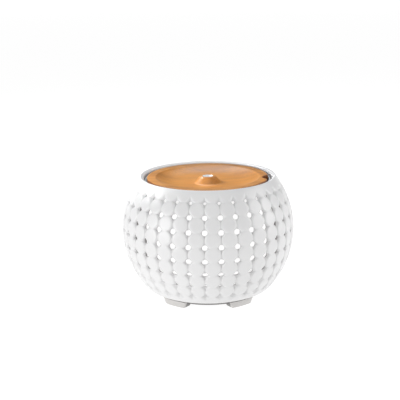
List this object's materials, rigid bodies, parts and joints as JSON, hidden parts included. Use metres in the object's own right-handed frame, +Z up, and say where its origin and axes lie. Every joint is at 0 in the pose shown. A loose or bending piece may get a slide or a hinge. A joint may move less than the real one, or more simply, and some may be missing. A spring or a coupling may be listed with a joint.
{
  "type": "ultrasonic aroma diffuser",
  "caption": "Round tabletop mist diffuser: pierced, quilted white ceramic bowl on a footed base, lift-off dished wooden lid with a central mist chimney, lit from inside.",
  "frame": {"origin": "on the standing surface, below the centre of the ceramic bowl", "axes": "+Z up along the bowl's axis; -Y is the front; the control panel is at the back, +Y; the lid's finger notch is near +X"},
  "size_m": [0.16, 0.16, 0.1132],
  "materials": {
    "glazed_ceramic": "white satin glaze",
    "lid_wood": "satin oiled, straight grain",
    "liner_plastic": "white moulded",
    "clear_silicone": "translucent silicone",
    "tank_plastic": "milky moulded",
    "milky_diffuser": "milky, light passes through",
    "base_plastic": "fine moulded texture",
    "inner_plastic": "moulded",
    "foot_rubber": "matt",
    "dark_rubber": "matt",
    "steel_screws": "zinc plated",
    "filter_foam": "open-cell foam",
    "fan_plastic": "moulded",
    "bearing_bronze": "sintered",
    "coil_copper": "enamelled winding",
    "magnet": "sintered ferrite",
    "steel_shaft": "ground",
    "mist_plate_metal": "plated",
    "clamp_steel": "pressed",
    "lead_jacket": "soft jacket",
    "circuit_board": "solder resist",
    "component_black": "moulded",
    "heat_sink_aluminium": "extruded",
    "led_board_white": "white solder resist",
    "led_lens": "yellow-white lens",
    "panel_plastic": "fine moulded texture",
    "button_plastic": "fine moulded texture",
    "contact_nickel": "plated"
  },
  "bodies": {
    "housing": {"ceramic_bowl": "glazed_ceramic", "tank": "tank_plastic", "tank_gasket": "dark_rubber", "tank_screws": "steel_screws", "light_sleeve": "milky_diffuser", "chassis": "inner_plastic", "base_plate": "base_plastic", "foot_pads": "foot_rubber", "base_screws": "steel_screws", "bowl_gasket_lower": "dark_rubber", "bowl_gasket_upper": "dark_rubber", "inlet_filter": "filter_foam", "fan_frame": "fan_plastic", "fan_bearing": "bearing_bronze", "fan_stator": "coil_copper", "fan_screws": "steel_screws", "air_duct": "inner_plastic", "transducer_disc": "mist_plate_metal", "transducer_seal": "dark_rubber", "transducer_clamp": "clamp_steel", "transducer_screws": "steel_screws", "transducer_lead": "lead_jacket", "main_board": "circuit_board", "board_parts": "component_black", "heat_sink": "heat_sink_aluminium", "board_screws": "steel_screws", "led_board": "led_board_white", "leds": "led_lens", "led_screws": "steel_screws", "led_lead": "lead_jacket", "fan_lead": "lead_jacket", "rear_panel": "panel_plastic", "panel_gasket": "dark_rubber", "switch_board": "circuit_board", "switch_bodies": "component_black", "dc_jack": "component_black", "dc_jack_pin": "contact_nickel", "panel_screws": "steel_screws", "panel_lead": "lead_jacket"},
    "lid": {"wood_lid": "lid_wood", "lid_liner": "liner_plastic", "lid_seal": "clear_silicone", "liner_screws": "steel_screws"},
    "mist_key": {"mist_button": "button_plastic", "mist_stem": "component_black"},
    "light_key": {"light_button": "button_plastic", "light_stem": "component_black"},
    "fan_wheel": {"fan_rotor": "fan_plastic", "fan_magnet": "magnet", "fan_shaft": "steel_shaft"}
  },
  "joints": [
    {"name": "lid_lift", "type": "slide", "parent": "housing", "child": "lid", "axis": [0, 0, 1], "range_m": [0, 0.08]},
    {"name": "mist_button_press", "type": "slide", "parent": "housing", "child": "mist_key", "axis": [0, -0.8988, 0.4384], "range_m": [0, 0.0008], "stiffness_N_per_m": 1500, "springref_m": -0.001},
    {"name": "light_button_press", "type": "slide", "parent": "housing", "child": "light_key", "axis": [0, -0.8988, 0.4384], "range_m": [0, 0.0008], "stiffness_N_per_m": 1500, "springref_m": -0.001},
    {"name": "fan_spin", "type": "hinge", "parent": "housing", "child": "fan_wheel", "pos_m": [0, 0, 0.018], "axis": [0, 0, 1], "continuous": true}
  ]
}
